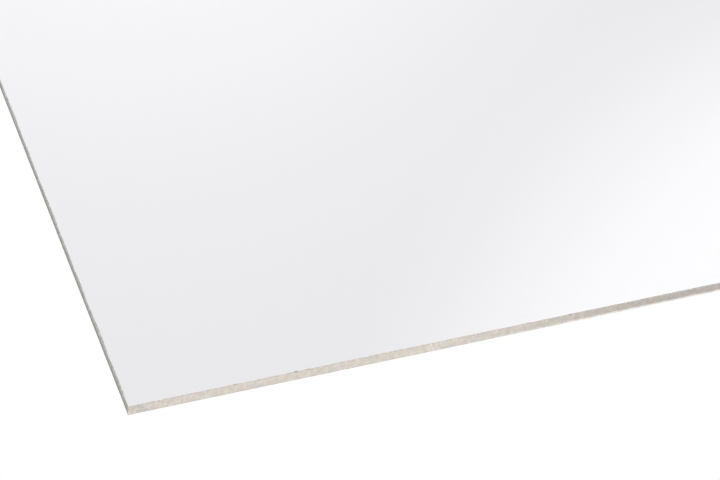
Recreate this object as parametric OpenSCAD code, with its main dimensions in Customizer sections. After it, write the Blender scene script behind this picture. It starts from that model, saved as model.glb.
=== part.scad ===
// Clear acrylic sheet: one flat piece, saw-cut square on all four sides.
// It lies on its underside, centred on the origin, with its length along X and its front cut facing -Y.
// Each cut meets the two faces in a narrow scraped arris, as a sheet has once the burr is taken off.

/* [Sheet] */
// Length, from the left cut to the right cut, in millimetres
sheet_length = 600; // [200:5:3050]
// Width, from the front cut to the back cut, in millimetres
sheet_width = 400; // [150:5:2050]
// Thickness, from face to face, in millimetres
sheet_thickness = 5; // [2:0.5:20]

/* [Edges] */
// Depth of the scraped arris, measured down each cut from the face, in millimetres
arris_depth = 0.2; // [0.05:0.05:0.8]
// Width of the scraped arris, measured across the face from the cut, in millimetres
arris_width = 0.25; // [0.05:0.05:1]

/* [Appearance] */
// Share of light that the sheet is drawn to hold back
tint_strength = 0.35; // [0.1:0.05:1]

/* [Hidden] */
clear_tint = [0.9, 0.94, 0.94];

// Upright section of the sheet across one of its spans, with an arris at each of its four corners.
module sheet_section(span) {
    half_span = span / 2;
    face_half = half_span - arris_width;
    cut_low = arris_depth;
    cut_high = sheet_thickness - arris_depth;
    polygon([
        [-face_half, 0],
        [face_half, 0],
        [half_span, cut_low],
        [half_span, cut_high],
        [face_half, sheet_thickness],
        [-face_half, sheet_thickness],
        [-half_span, cut_high],
        [-half_span, cut_low]
    ]);
}

// The section drawn across X and run the whole way along Y.
module cut_to_length() {
    translate([0, sheet_width / 2, 0])
        rotate([90, 0, 0])
            linear_extrude(height = sheet_width)
                sheet_section(sheet_length);
}

// The section drawn across Y and run the whole way along X.
module cut_to_width() {
    translate([-sheet_length / 2, 0, 0])
        rotate([90, 0, 90])
            linear_extrude(height = sheet_length)
                sheet_section(sheet_width);
}

// What both pairs of cuts leave: the arrises meet in mitres at the four corners.
module acrylic_sheet() {
    color(clear_tint, tint_strength)
        intersection() {
            cut_to_length();
            cut_to_width();
        }
}

acrylic_sheet();
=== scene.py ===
"""Dresses the clear acrylic sheet: relief on its saw cuts, finishes, floor, soft light and camera."""
import math

import bpy
import numpy as np
from mathutils import Matrix, Vector


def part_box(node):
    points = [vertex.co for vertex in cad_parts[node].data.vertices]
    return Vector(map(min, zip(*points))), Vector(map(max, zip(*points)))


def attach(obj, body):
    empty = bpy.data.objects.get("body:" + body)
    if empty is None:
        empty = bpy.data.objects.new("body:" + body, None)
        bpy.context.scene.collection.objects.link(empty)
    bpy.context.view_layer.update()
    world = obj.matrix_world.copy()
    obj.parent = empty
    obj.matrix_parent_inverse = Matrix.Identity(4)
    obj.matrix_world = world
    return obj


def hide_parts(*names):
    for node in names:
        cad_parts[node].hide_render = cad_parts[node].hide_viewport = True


MM = 0.001
NODE = "acrylic_sheet"

# The cuts are numbered anticlockwise in plan from the front one. The right and left ones run
# across the sheet.
FRONT_SIDE = 0
RIGHT_SIDE = 1
LEFT_SIDE = 3
CROSS_SIDES = (RIGHT_SIDE, LEFT_SIDE)

# Camera: the photograph's frame, a long lens, and where the near corner of the top face shows
IMAGE_WIDTH = 720
IMAGE_HEIGHT = 480
SENSOR_WIDTH_MM = 36.0
FOCAL_LENGTH_PX = 2943.0
CAMERA_PITCH_DEG = 38.24
CAMERA_TURN_DEG = 17.85
CORNER_PX = (127.45, 407.2)
CAMERA_RISE_MM = 881.6

# The part's arrises, as part.scad has them
ARRIS_DEPTH_MM = 0.2
ARRIS_WIDTH_MM = 0.25

# Mesh of the dressed sheet
COLUMN_STEP_MM = 0.4
CUT_ROWS = 8
FACE_CELL_MM = 12.5
FACE_BORDER_MM = 12.0

# Relief that the blade leaves, all of it cut inward from the part's own planes
SAW_MARK_DEPTH_MM = 0.05
SAW_MARK_PITCH_MM = 0.9
SAW_MARK_SLANT = 0.35
SAW_MARK_HEIGHT_MM = 6.0
BLOTCH_DEPTH_MM = 0.06
BLOTCH_LENGTH_MM = 3.2
BLOTCH_HEIGHT_MM = 2.4
GRAIN_DEPTH_MM = 0.015
CORNER_FADE_MM = 1.5

# Seeds of the chips and the grain, and of the noises, of which each side has a run of its own
CHIP_SEED = 11
GRAIN_SEED = 12
RELIEF_SEED = 11
SEEDS_PER_SIDE = 10
BLOTCH_SEED_STEP = 1
ARRIS_SEED_STEP = 5
ARRISES_PER_SIDE = 2

# Cells of a noise's grid, which repeats after the last one
NOISE_COLUMNS = 1024
NOISE_ROWS = 64

# Waves in the width of the arrises, each with its depth and length: the scraper has gone deeper
# in places along the top of the cross cuts
ARRIS_WAVES_MM = [(0.18, 1.6)]
CROSS_TOP_ARRIS_WAVES_MM = [(0.18, 1.6), (0.5, 11.0)]

# Chips that the photograph shows in the top arris of the front cut:
# distance from the near corner, half length, and how far the chip reaches into the face
FRONT_CHIPS_MM = [
    (50.3, 0.7, 0.12),
    (79.5, 1.0, 0.28),
    (85.7, 0.9, 0.12),
    (125.5, 0.7, 0.08),
    (214.2, 1.0, 0.16),
    (227.3, 0.9, 0.10),
    (234.8, 0.7, 0.08),
    (269.5, 0.7, 0.06),
]

# Pale marks that it shows in the same cut, where the blade paused, and which lean as the saw marks do:
# distance from the near corner at the lower face, half width and strength
FRONT_MARKS_MM = [
    (146.3, 0.5, 0.65),
    (148.7, 0.8, 0.30),
]

# Chips scattered along the arrises, kept off the stretches of the front and left cuts that the
# photograph shows
SHOWN_STRETCHES_MM = {FRONT_SIDE: (0.0, 290.0), LEFT_SIDE: (57.0, 400.0)}
CHIPS_PER_SIDE = 14
CHIP_HALF_LENGTH_MM = (0.6, 1.2)
CHIP_REACH_MM = (0.1, 0.35)
CHIP_MARGIN_MM = 5.0
CHIP_DROP_SHARE = 0.6
CHIP_FULL_TONE_MM = 0.2

# Materials of the dressed sheet, in the order of its material slots
POLISHED_SLOT, LONG_CUT_SLOT, SHADED_CROSS_CUT_SLOT = range(3)

# Refraction and the faint tint of acrylic
ACRYLIC_IOR = 1.49
FACE_TINT = (0.885, 0.884, 0.902, 1.0)

# Noises: cells for each metre and detail, then the noise levels between which each one comes in.
# The haze is the slight unevenness of the polish.
NOISE_ROUGHNESS = 0.6
HAZE_NOISE = (22, 4)
HAZE_LEVELS = (0.3, 0.8)
HAZE_ROUGHNESS = 0.035
CUT_NOISE = (420, 2)
CUT_LEVELS = (0.35, 0.65)
CUT_ROUGHNESS = (0.42, 0.62)
SCUFF_NOISE = (450, 1)
SCUFF_LEVELS = (0.42, 0.58)
GRAIN_NOISE = (3200, 3)
SAW_LINE_NOISE = (2400, 2)
BUMP_STRENGTH = 0.5
BUMP_DEPTH_MM = 0.05

# Layers of a saw cut in order: colour, noise cells for each metre, detail, noise levels between
# which the layer comes in, its share, and whether it is drawn out upright
CUT_LAYERS = [
    ("light", 380, 2, 0.36, 0.64, 1.0, False),
    ("warm", 250, 1, 0.50, 0.70, 0.75, False),
    ("green", 190, 1, 0.52, 0.70, 0.75, False),
    ("streak", 330, 2, 0.63, 0.74, 0.60, True),
    ("scoring", 1500, 2, 0.30, 0.70, 0.20, True),
]
UPRIGHT_STRETCH = (1.0, 1.0, 0.12)

# The long cuts have warm frosting, scuffed at the corners and a little darker at the top. Half way
# along, painted shade makes them greyer, with a painted glow at the lower rim and a less dark top.
LONG_CUT = {
    "base": (0.512, 0.467, 0.417, 1.0),
    "light": (0.632, 0.580, 0.524, 1.0),
    "warm": (0.588, 0.508, 0.468, 1.0),
    "green": (0.560, 0.530, 0.452, 1.0),
    "streak": (0.740, 0.700, 0.660, 1.0),
    "scoring": (0.330, 0.300, 0.270, 1.0),
    "scuff": (0.87, 0.86, 0.88, 1.0),
    # Painted shade half way along, a painted glow at its lower rim, and the top there
    "painted_mid_shade": (0.686, 0.682, 0.696, 1.0),
    "painted_rim_glow": (1.36, 1.42, 1.50, 1.0),
    "top": (0.84, 0.84, 0.85, 1.0),
    "mid_shade_top": (1.05, 1.05, 1.05, 1.0),
    "top_from": 0.84,
    "top_to": 0.96,
}

# Cross cuts: the frosting darkened to grey as painted shade, with a painted highlight towards the top
SHADED_CROSS_CUT = {
    "base": (0.186, 0.190, 0.181, 1.0),
    "light": (0.256, 0.260, 0.248, 1.0),
    "warm": (0.238, 0.229, 0.219, 1.0),
    "green": (0.228, 0.237, 0.220, 1.0),
    "streak": (0.330, 0.330, 0.320, 1.0),
    "scoring": (0.120, 0.120, 0.115, 1.0),
    "scuff": (1.0, 1.0, 1.0, 1.0),
    "painted_mid_shade": (1.0, 1.0, 1.0, 1.0),
    "painted_rim_glow": (1.0, 1.0, 1.0, 1.0),
    # Painted highlight towards the top
    "top": (2.10, 2.10, 2.03, 1.0),
    "mid_shade_top": (2.10, 2.10, 2.03, 1.0),
    "top_from": 0.33,
    "top_to": 1.0,
}
CHIP_SHADE = (0.60, 0.64, 0.69, 1.0)

# Where the scuffs fade out and the painted shade comes in, from the nearer end of a long cut, and the
# heights between which the painted glow at its lower rim fades out upwards
SCUFF_FROM_MM = 5.0
SCUFF_TO_MM = 15.0
MID_SHADE_FROM_MM = 145.0
MID_SHADE_TO_MM = 275.0
RIM_LOW_MM = 0.5
RIM_HIGH_MM = 1.4

# Studio: radiance of the floor, of the air just above the horizon and of the rest of the room
FLOOR_RADIANCE = 1.0
FLOOR_HALF_M = 30.0
FLOOR_GAP_MM = 0.2
ROOM_RADIANCE = 0.246
HORIZON_RADIANCE = 1.0
HORIZON_LOW_DEG = 1.7
HORIZON_HIGH_DEG = 6.0

# Soft lights in the room: azimuth from +Y towards +X, elevation, core and outer radius, radiance
SOFT_LIGHTS = {
    "rear_right_box": (37.5, 44.2, 10.1, 15.5, 1.65),
    "rear_low_panel": (12.6, 27.4, 1.0, 14.7, 1.50),
    "front_bank": (180.0, 46.0, 14.0, 46.0, 3.0),
    "right_panel": (116.0, 20.0, 4.0, 27.0, 1.4),
    "left_panel": (-62.0, 32.0, 3.0, 24.0, 1.0),
    "overhead": (0.0, 90.0, 8.0, 34.0, 1.2),
}


def value_noise(x, y, seed):
    """Smooth noise from 0 to 1 on a grid of seeded random values, one cell for each unit of x and y."""
    lattice = np.random.default_rng(seed).random((NOISE_COLUMNS, NOISE_ROWS))
    column = np.floor(x).astype(int)
    row = np.floor(y).astype(int)
    along = x - column
    up = y - row
    along = along * along * (3 - 2 * along)
    up = up * up * (3 - 2 * up)
    here = column % NOISE_COLUMNS
    beside = (column + 1) % NOISE_COLUMNS
    below = row % NOISE_ROWS
    above = (row + 1) % NOISE_ROWS
    low = lattice[here, below] * (1 - along) + lattice[beside, below] * along
    high = lattice[here, above] * (1 - along) + lattice[beside, above] * along
    return low * (1 - up) + high * up


def side_seed(side):
    """The first seed of one side's run."""
    return RELIEF_SEED + SEEDS_PER_SIDE * side


def sheet_sides(low, high):
    """The four sides in plan, from the front one: start, direction, inward direction and length."""
    length = high.x - low.x
    width = high.y - low.y
    return [
        ((low.x, low.y), (1, 0), (0, 1), length),
        ((high.x, low.y), (0, 1), (-1, 0), width),
        ((high.x, high.y), (-1, 0), (0, -1), length),
        ((low.x, high.y), (0, -1), (1, 0), width),
    ]


def bump_profile(distance, bumps):
    """Rounded bumps along a side, each from its centre, half length and height."""
    profile = np.zeros_like(distance)
    for centre, half_length, top in bumps:
        inside = np.clip(1 - ((distance - centre) / half_length) ** 2, 0, None)
        profile = np.maximum(profile, top * inside)
    return profile


def random_chips(side, length_mm, rng):
    """Chips scattered along one arris of a side, off the stretch that the photograph shows."""
    centres = rng.uniform(CHIP_MARGIN_MM, length_mm - CHIP_MARGIN_MM, CHIPS_PER_SIDE)
    half_lengths = rng.uniform(*CHIP_HALF_LENGTH_MM, CHIPS_PER_SIDE)
    reaches = rng.uniform(*CHIP_REACH_MM, CHIPS_PER_SIDE)
    first, last = SHOWN_STRETCHES_MM.get(side, (0.0, 0.0))
    chips = zip(centres, half_lengths, reaches)
    return [chip for chip in chips if not first <= chip[0] <= last]


def cut_columns(low, high):
    """For each side, where the upright columns of the mesh stand and how the chips reach into them."""
    rng = np.random.default_rng(CHIP_SEED)
    sides = sheet_sides(low, high)
    columns = []
    for side, (start, direction, inward, length) in enumerate(sides):
        length_mm = length / MM
        count = round(length_mm / COLUMN_STEP_MM)
        distance = np.arange(count) * length_mm / count
        top_chips = random_chips(side, length_mm, rng)
        bottom_chips = random_chips(side, length_mm, rng)
        if side == FRONT_SIDE:
            top_chips += FRONT_CHIPS_MM
        fade = np.clip(np.minimum(distance, length_mm - distance) / CORNER_FADE_MM, 0, 1)
        inward_here = np.tile(np.array(inward, float), (count, 1))
        inward_before = sides[side - 1][2]
        inward_here[0] += np.array(inward_before, float)
        columns.append({
            "side": side,
            "distance": distance,
            "fade": fade,
            "xy": np.array(start) + np.outer(distance * MM, direction),
            "inward": inward_here,
            "top_chip": bump_profile(distance, top_chips) * fade,
            "bottom_chip": bump_profile(distance, bottom_chips) * fade,
        })
    return columns


def cut_relief(distance, height, side, rng):
    """Depth of the blade's marks, blotches and grain at each column of one row, in millimetres."""
    seed = side_seed(side)
    slanted = (distance + SAW_MARK_SLANT * height) / SAW_MARK_PITCH_MM
    mark_height = np.full_like(distance, height / SAW_MARK_HEIGHT_MM)
    marks = 1 - np.abs(2 * value_noise(slanted, mark_height, seed) - 1)
    blotch_height = np.full_like(distance, height / BLOTCH_HEIGHT_MM)
    blotches = value_noise(distance / BLOTCH_LENGTH_MM, blotch_height, seed + BLOTCH_SEED_STEP)
    grain = rng.random(distance.size)
    return SAW_MARK_DEPTH_MM * marks + BLOTCH_DEPTH_MM * blotches + GRAIN_DEPTH_MM * grain


def cut_rows(thickness_mm):
    """Heights of the mesh rows from the bottom face to the top face, in millimetres."""
    between = np.linspace(ARRIS_DEPTH_MM, thickness_mm - ARRIS_DEPTH_MM, CUT_ROWS)
    return [0.0, *between, thickness_mm]


def row_chip(column, row, last):
    """How far the chips reach into one mesh row, in millimetres: only the arris rows have any."""
    if row >= last - 1:
        return column["top_chip"]
    if row <= 1:
        return column["bottom_chip"]
    return np.zeros_like(column["distance"])


def arris_waves(column, at_top):
    """How much wider than its narrowest an arris is along one side, in millimetres."""
    waves = CROSS_TOP_ARRIS_WAVES_MM if at_top and column["side"] in CROSS_SIDES else ARRIS_WAVES_MM
    first_seed = side_seed(column["side"]) + ARRIS_SEED_STEP + at_top
    distance = column["distance"]
    widening = np.zeros_like(distance)
    for number, (depth, length) in enumerate(waves):
        seed = first_seed + ARRISES_PER_SIDE * number
        widening += depth * value_noise(distance / length, np.zeros_like(distance), seed)
    return widening


def column_row(column, row, heights, rng):
    """Points of one mesh row along one side, in metres."""
    distance = column["distance"]
    height = np.full_like(distance, heights[row])
    last = len(heights) - 1
    chip = row_chip(column, row, last)
    if row in (0, last):
        inset = ARRIS_WIDTH_MM + arris_waves(column, row == last) * column["fade"] + chip
    else:
        relief = cut_relief(distance, heights[row], column["side"], rng)
        inset = relief * column["fade"] + CHIP_DROP_SHARE * chip
        towards_middle = 1 if row == 1 else -1
        height = height + towards_middle * CHIP_DROP_SHARE * chip
    plan = column["xy"] + column["inward"] * (inset * MM)[:, None]
    return np.column_stack([plan, height * MM])


def row_mark(column, height_mm):
    """Strength of the pale marks along one mesh row: only the front cut has any."""
    if column["side"] != FRONT_SIDE:
        return np.zeros_like(column["distance"])
    return bump_profile(column["distance"] + SAW_MARK_SLANT * height_mm, FRONT_MARKS_MM)


def edge_band(low, high):
    """The four cuts and their arrises: points, tones, quads, side of each quad, columns a side."""
    columns = cut_columns(low, high)
    heights = cut_rows((high.z - low.z) / MM)
    last = len(heights) - 1
    rng = np.random.default_rng(GRAIN_SEED)
    rows = []
    chips = []
    marks = []
    for row, height in enumerate(heights):
        rows.append(np.vstack([column_row(column, row, heights, rng) for column in columns]))
        chips.append(np.concatenate([row_chip(column, row, last) for column in columns]))
        marks.append(np.concatenate([row_mark(column, height) for column in columns]))
    points = np.vstack(rows)
    points[:, 2] += low.z
    tones = {
        "chip": np.clip(np.concatenate(chips) / CHIP_FULL_TONE_MM, 0, 1),
        "pale_mark": np.concatenate(marks),
    }

    side_counts = [len(column["distance"]) for column in columns]
    total = sum(side_counts)
    side_of_column = np.repeat(np.arange(len(columns)), side_counts)
    quads = []
    quad_sides = []
    for row in range(last):
        base = row * total
        for here in range(total):
            after = (here + 1) % total
            quads.append((base + here, base + after, base + total + after, base + total + here))
            quad_sides.append(int(side_of_column[here]))
    return points, tones, quads, quad_sides, side_counts


def face_grid(low, high, height):
    """The inner grid of one face: its points, its quads and the run of border points on each side."""
    border = FACE_BORDER_MM * MM
    across = round((high.x - low.x) / (FACE_CELL_MM * MM))
    deep = round((high.y - low.y) / (FACE_CELL_MM * MM))
    xs = np.linspace(low.x + border, high.x - border, across + 1)
    ys = np.linspace(low.y + border, high.y - border, deep + 1)
    points = [(x, y, height) for y in ys for x in xs]
    stride = across + 1
    quads = []
    for j in range(deep):
        for i in range(across):
            corner = j * stride + i
            quads.append((corner, corner + 1, corner + stride + 1, corner + stride))
    borders = [
        list(range(across + 1)),
        [j * stride + across for j in range(deep + 1)],
        [deep * stride + across - i for i in range(across + 1)],
        [(deep - j) * stride for j in range(deep + 1)],
    ]
    return points, quads, borders


def stitch(fine, coarse):
    """Triangles between a fine run of points and a coarse run inside it, both anticlockwise."""
    triangles = []
    i = 0
    k = 0
    fine_last = len(fine) - 1
    coarse_last = len(coarse) - 1
    while i < fine_last or k < coarse_last:
        fine_next = (i + 0.5) / fine_last
        coarse_next = (k + 0.5) / coarse_last
        if k == coarse_last or (i < fine_last and fine_next <= coarse_next):
            triangles.append((fine[i], fine[i + 1], coarse[k]))
            i += 1
        else:
            triangles.append((fine[i], coarse[k + 1], coarse[k]))
            k += 1
    return triangles


def polished_face(points, low, high, height, ring_start, side_counts):
    """Faces of one polished face inside the ring of points that starts at ring_start."""
    grid_points, grid_quads, borders = face_grid(low, high, height)
    offset = len(points)
    points.extend(grid_points)
    faces = [tuple(offset + index for index in quad) for quad in grid_quads]
    total = sum(side_counts)
    begin = 0
    for border, count in zip(borders, side_counts):
        fine = [ring_start + (begin + index) % total for index in range(count + 1)]
        coarse = [offset + index for index in border]
        faces.extend(stitch(fine, coarse))
        begin += count
    return faces


def add_tones(mesh, tones):
    """Stores the tones of the cuts at the mesh's points; the points inside the faces have none."""
    for name, cut_tones in tones.items():
        all_tones = np.zeros(len(mesh.vertices), dtype=np.float32)
        all_tones[:len(cut_tones)] = cut_tones
        mesh.attributes.new(name, "FLOAT", "POINT").data.foreach_set("value", all_tones)


def make_sheet(low, high):
    """The whole sheet as one closed mesh: two polished faces and four sawn cuts."""
    band, tones, quads, quad_sides, side_counts = edge_band(low, high)
    total = sum(side_counts)
    points = [tuple(point) for point in band]
    top = polished_face(points, low, high, high.z, len(band) - total, side_counts)
    bottom = polished_face(points, low, high, low.z, 0, side_counts)
    faces = quads + top + [tuple(reversed(face)) for face in bottom]

    mesh = bpy.data.meshes.new("acrylic_sheet_dressed")
    mesh.from_pydata(points, [], faces)
    mesh.materials.append(polished_face_material())
    mesh.materials.append(sawn_cut_material("long_saw_cut", LONG_CUT, high))
    # The cross cuts take the grey copy of the frosting that carries painted shade
    mesh.materials.append(sawn_cut_material("shaded_cross_saw_cut", SHADED_CROSS_CUT, high))
    slots = np.full(len(faces), POLISHED_SLOT, dtype=np.int32)
    slots[:len(quads)] = np.where(np.isin(quad_sides, CROSS_SIDES), SHADED_CROSS_CUT_SLOT, LONG_CUT_SLOT)
    mesh.polygons.foreach_set("material_index", slots)
    # The cuts are smooth between their arrises, which stay flat, as the polished faces do
    smooth = np.zeros(len(faces), dtype=bool)
    smooth[total:len(quads) - total] = True
    mesh.polygons.foreach_set("use_smooth", smooth)
    add_tones(mesh, tones)
    mesh.update()
    sheet = bpy.data.objects.new("acrylic_sheet_dressed", mesh)
    bpy.context.scene.collection.objects.link(sheet)
    return sheet


def new_material(name):
    """An empty node material with its Principled shader wired to the output."""
    material = bpy.data.materials.new(name)
    material.use_nodes = True
    tree = material.node_tree
    tree.nodes.clear()
    output = tree.nodes.new("ShaderNodeOutputMaterial")
    shader = tree.nodes.new("ShaderNodeBsdfPrincipled")
    shader.inputs["IOR"].default_value = ACRYLIC_IOR
    tree.links.new(shader.outputs["BSDF"], output.inputs["Surface"])
    return material, tree, shader


def noise_node(tree, vector, scale, detail):
    """A noise texture; scale is in cells for each metre."""
    node = tree.nodes.new("ShaderNodeTexNoise")
    node.inputs["Scale"].default_value = scale
    node.inputs["Detail"].default_value = detail
    node.inputs["Roughness"].default_value = NOISE_ROUGHNESS
    tree.links.new(vector, node.inputs["Vector"])
    return node.outputs["Fac"]


def map_range(tree, value, from_low, from_high, to_low, to_high, smooth=False):
    """Maps a value from one range to another, held at both ends."""
    node = tree.nodes.new("ShaderNodeMapRange")
    node.interpolation_type = "SMOOTHSTEP" if smooth else "LINEAR"
    node.inputs["From Min"].default_value = from_low
    node.inputs["From Max"].default_value = from_high
    node.inputs["To Min"].default_value = to_low
    node.inputs["To Max"].default_value = to_high
    tree.links.new(value, node.inputs["Value"])
    return node.outputs["Result"]


def math_node(tree, operation, first, second=0.0):
    """A math node whose inputs are sockets or plain numbers."""
    node = tree.nodes.new("ShaderNodeMath")
    node.operation = operation
    for socket, value in zip(node.inputs, (first, second)):
        if isinstance(value, (int, float)):
            socket.default_value = value
        else:
            tree.links.new(value, socket)
    return node.outputs["Value"]


def mix_colour(tree, factor, under, over, blend="MIX"):
    """Lays one colour over another; each is a socket or an RGBA tuple."""
    node = tree.nodes.new("ShaderNodeMix")
    node.data_type = "RGBA"
    node.blend_type = blend
    tree.links.new(factor, node.inputs["Factor"])
    sockets = [socket for socket in node.inputs if socket.type == "RGBA"]
    for socket, colour in zip(sockets, (under, over)):
        if isinstance(colour, tuple):
            socket.default_value = colour
        else:
            tree.links.new(colour, socket)
    return [socket for socket in node.outputs if socket.type == "RGBA"][0]


def object_coordinates(tree):
    """Position on the sheet in metres."""
    return tree.nodes.new("ShaderNodeTexCoord").outputs["Object"]


def cut_coordinates(tree, place):
    """Distance along whichever cut, and height, so that one texture serves all four sides."""
    along = math_node(tree, "ADD", place["X"], place["Y"])
    join = tree.nodes.new("ShaderNodeCombineXYZ")
    tree.links.new(along, join.inputs["X"])
    tree.links.new(place["Z"], join.inputs["Z"])
    return join.outputs["Vector"]


def split_coordinates(tree, vector):
    """The X, Y and Z sockets of a vector."""
    split = tree.nodes.new("ShaderNodeSeparateXYZ")
    tree.links.new(vector, split.inputs["Vector"])
    return split.outputs


def drawn_upright(tree, vector):
    """The same coordinates squeezed in height, which draws a texture out upright."""
    mapping = tree.nodes.new("ShaderNodeMapping")
    mapping.inputs["Scale"].default_value = UPRIGHT_STRETCH
    tree.links.new(vector, mapping.inputs["Vector"])
    return mapping.outputs["Vector"]


def mesh_tone(tree, name):
    """A tone from 0 to 1 that the mesh carries at its points."""
    node = tree.nodes.new("ShaderNodeAttribute")
    node.attribute_name = name
    return node.outputs["Fac"]


def distance_from_end(tree, place, half_length):
    """Distance from the nearer end of the sheet's length, in metres."""
    from_left = math_node(tree, "ADD", place["X"], half_length)
    return math_node(tree, "PINGPONG", from_left, half_length)


def mottle(tree, vector, look):
    """The layers of a cut's frosting, one over another."""
    upright = drawn_upright(tree, vector)
    colour = look["base"]
    for name, scale, detail, low, high, share, is_upright in CUT_LAYERS:
        noise = noise_node(tree, upright if is_upright else vector, scale, detail)
        colour = mix_colour(tree, map_range(tree, noise, low, high, 0, share), colour, look[name])
    return colour


def scuffs(tree, vector, from_end):
    """Strength of the scuffs near the ends of the long cuts."""
    near_end = map_range(tree, from_end, SCUFF_FROM_MM * MM, SCUFF_TO_MM * MM, 1, 0)
    patches = map_range(tree, noise_node(tree, vector, *SCUFF_NOISE), *SCUFF_LEVELS, 0, 1)
    return math_node(tree, "MULTIPLY", near_end, patches)


def mid_shade_and_rim_glow(tree, place, look):
    """Painted shade that multiplies a long cut's colour half way along, with a painted glow at its
    lower rim.
    """
    rim = map_range(tree, place["Z"], RIM_LOW_MM * MM, RIM_HIGH_MM * MM, 1, 0)
    return mix_colour(tree, rim, look["painted_mid_shade"], look["painted_rim_glow"])


def cut_colour(tree, place, vector, look, high):
    """Base colour of a cut: its mottle, then its scuffs, painted shade and rim glow, top, marks and
    chips.
    """
    from_end = distance_from_end(tree, place, high.x)
    colour = mottle(tree, vector, look)
    colour = mix_colour(tree, scuffs(tree, vector, from_end), colour, look["scuff"], "MULTIPLY")
    # Painted shade half way along the long cuts, with a painted glow at its lower rim
    mid_shade_share = map_range(tree, from_end, MID_SHADE_FROM_MM * MM, MID_SHADE_TO_MM * MM, 0, 1, smooth=True)
    colour = mix_colour(tree, mid_shade_share, colour, mid_shade_and_rim_glow(tree, place, look), "MULTIPLY")
    # Darker top on the long cuts, paler in the painted shade; a painted highlight towards the top of
    # the cross cuts
    top = map_range(tree, place["Z"], look["top_from"] * high.z, look["top_to"] * high.z, 0, 1)
    top_shade = mix_colour(tree, mid_shade_share, look["top"], look["mid_shade_top"])
    colour = mix_colour(tree, top, colour, top_shade, "MULTIPLY")
    colour = mix_colour(tree, mesh_tone(tree, "pale_mark"), colour, look["streak"])
    return mix_colour(tree, mesh_tone(tree, "chip"), colour, CHIP_SHADE, "MULTIPLY")


def sawn_cut_material(name, look, high):
    """Frosted saw cut: mottled colour, uneven roughness, a fine grain and finer upright saw lines."""
    material, tree, shader = new_material(name)
    place = split_coordinates(tree, object_coordinates(tree))
    vector = cut_coordinates(tree, place)
    colour = cut_colour(tree, place, vector, look, high)
    tree.links.new(colour, shader.inputs["Base Color"])

    roughness = map_range(tree, noise_node(tree, vector, *CUT_NOISE), *CUT_LEVELS, *CUT_ROUGHNESS)
    tree.links.new(roughness, shader.inputs["Roughness"])
    bump = tree.nodes.new("ShaderNodeBump")
    bump.inputs["Strength"].default_value = BUMP_STRENGTH
    bump.inputs["Distance"].default_value = BUMP_DEPTH_MM * MM
    grain = noise_node(tree, vector, *GRAIN_NOISE)
    saw_lines = noise_node(tree, drawn_upright(tree, vector), *SAW_LINE_NOISE)
    tree.links.new(math_node(tree, "ADD", grain, saw_lines), bump.inputs["Height"])
    tree.links.new(bump.outputs["Normal"], shader.inputs["Normal"])
    return material


def polished_face_material():
    """Clear acrylic: refracting, faintly tinted, with the slightest uneven haze in its polish."""
    material, tree, shader = new_material("polished_acrylic")
    shader.inputs["Base Color"].default_value = FACE_TINT
    shader.inputs["Transmission Weight"].default_value = 1.0
    haze = noise_node(tree, object_coordinates(tree), *HAZE_NOISE)
    roughness = map_range(tree, haze, *HAZE_LEVELS, 0, HAZE_ROUGHNESS)
    tree.links.new(roughness, shader.inputs["Roughness"])
    return material


def make_floor(level):
    """A pale, evenly lit table under the sheet, reaching far enough to meet the horizon."""
    half = FLOOR_HALF_M
    plan = [(-half, -half, 0), (half, -half, 0), (half, half, 0), (-half, half, 0)]
    mesh = bpy.data.meshes.new("floor")
    mesh.from_pydata(plan, [], [(0, 1, 2, 3)])
    material = bpy.data.materials.new("pale_table")
    material.use_nodes = True
    tree = material.node_tree
    tree.nodes.clear()
    output = tree.nodes.new("ShaderNodeOutputMaterial")
    glow = tree.nodes.new("ShaderNodeEmission")
    glow.inputs["Strength"].default_value = FLOOR_RADIANCE
    tree.links.new(glow.outputs["Emission"], output.inputs["Surface"])
    mesh.materials.append(material)
    floor = bpy.data.objects.new("floor", mesh)
    floor.location.z = level
    bpy.context.scene.collection.objects.link(floor)
    return floor


def sky_direction(azimuth_deg, elevation_deg):
    """Unit vector towards a place in the room."""
    azimuth = math.radians(azimuth_deg)
    elevation = math.radians(elevation_deg)
    flat = math.cos(elevation)
    return Vector((math.sin(azimuth) * flat, math.cos(azimuth) * flat, math.sin(elevation)))


def soft_light(tree, direction, azimuth, elevation, core, outer, radiance):
    """Radiance of one round soft light, fading from its core to its outer radius."""
    dot = tree.nodes.new("ShaderNodeVectorMath")
    dot.operation = "DOT_PRODUCT"
    dot.inputs[1].default_value = sky_direction(azimuth, elevation)
    tree.links.new(direction, dot.inputs[0])
    angle = math_node(tree, "ARCCOSINE", dot.outputs["Value"])
    return map_range(tree, angle, math.radians(core), math.radians(outer), radiance, 0, smooth=True)


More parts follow.
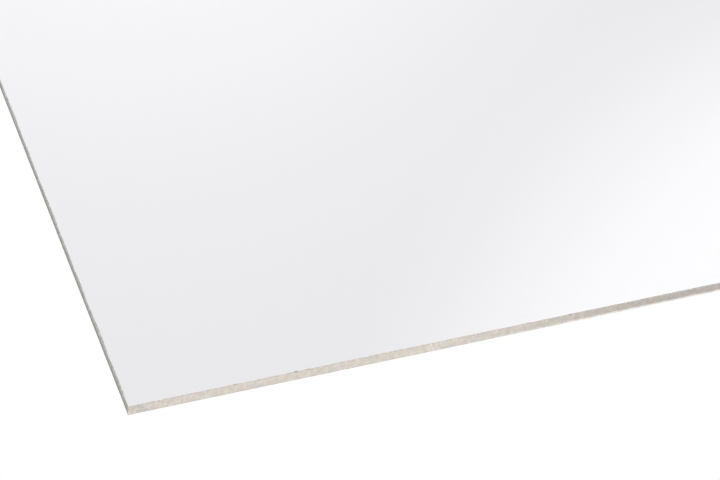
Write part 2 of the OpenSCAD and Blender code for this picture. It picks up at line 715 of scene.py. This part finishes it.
def make_world():
    """A dim room with a pale horizon and a few large soft lights."""
    world = bpy.data.worlds.new("studio")
    bpy.context.scene.world = world
    world.use_nodes = True
    tree = world.node_tree
    tree.nodes.clear()
    output = tree.nodes.new("ShaderNodeOutputWorld")
    background = tree.nodes.new("ShaderNodeBackground")
    background.inputs["Color"].default_value = (1, 1, 1, 1)
    direction = tree.nodes.new("ShaderNodeTexCoord").outputs["Generated"]
    rise = split_coordinates(tree, direction)["Z"]
    low = math.sin(math.radians(HORIZON_LOW_DEG))
    high = math.sin(math.radians(HORIZON_HIGH_DEG))
    total = map_range(tree, rise, low, high, HORIZON_RADIANCE, ROOM_RADIANCE, smooth=True)
    for place in SOFT_LIGHTS.values():
        total = math_node(tree, "ADD", total, soft_light(tree, direction, *place))
    tree.links.new(total, background.inputs["Strength"])
    tree.links.new(background.outputs["Background"], output.inputs["Surface"])


def make_camera(near_corner):
    """The photograph's camera, placed so that near_corner shows at CORNER_PX."""
    data = bpy.data.cameras.new("camera")
    data.sensor_width = SENSOR_WIDTH_MM
    data.lens = SENSOR_WIDTH_MM * FOCAL_LENGTH_PX / IMAGE_WIDTH
    camera = bpy.data.objects.new("camera", data)
    turn = Matrix.Rotation(-math.radians(CAMERA_TURN_DEG), 3, "Z")
    tilt = Matrix.Rotation(math.radians(90 - CAMERA_PITCH_DEG), 3, "X")
    rotation = turn @ tilt
    ray = rotation @ Vector((
        (CORNER_PX[0] - IMAGE_WIDTH / 2) / FOCAL_LENGTH_PX,
        (IMAGE_HEIGHT / 2 - CORNER_PX[1]) / FOCAL_LENGTH_PX,
        -1.0,
    ))
    camera.location = near_corner - ray * (CAMERA_RISE_MM * MM / -ray.z)
    camera.rotation_euler = rotation.to_euler()
    bpy.context.scene.collection.objects.link(camera)
    bpy.context.scene.camera = camera


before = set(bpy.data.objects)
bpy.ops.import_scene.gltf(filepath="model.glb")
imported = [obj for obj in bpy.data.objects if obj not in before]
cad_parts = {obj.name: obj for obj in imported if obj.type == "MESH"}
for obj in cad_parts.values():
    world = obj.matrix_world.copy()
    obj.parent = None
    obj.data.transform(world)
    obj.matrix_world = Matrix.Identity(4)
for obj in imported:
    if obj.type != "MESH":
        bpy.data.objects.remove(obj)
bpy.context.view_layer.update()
sheet_low, sheet_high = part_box(NODE)

make_camera(Vector((sheet_low.x, sheet_low.y, sheet_high.z)))
sheet = make_sheet(sheet_low, sheet_high)
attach(sheet, "root")
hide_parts(NODE)
make_floor(sheet_low.z - FLOOR_GAP_MM * MM)
make_world()
bpy.context.scene.view_settings.view_transform = "Standard"
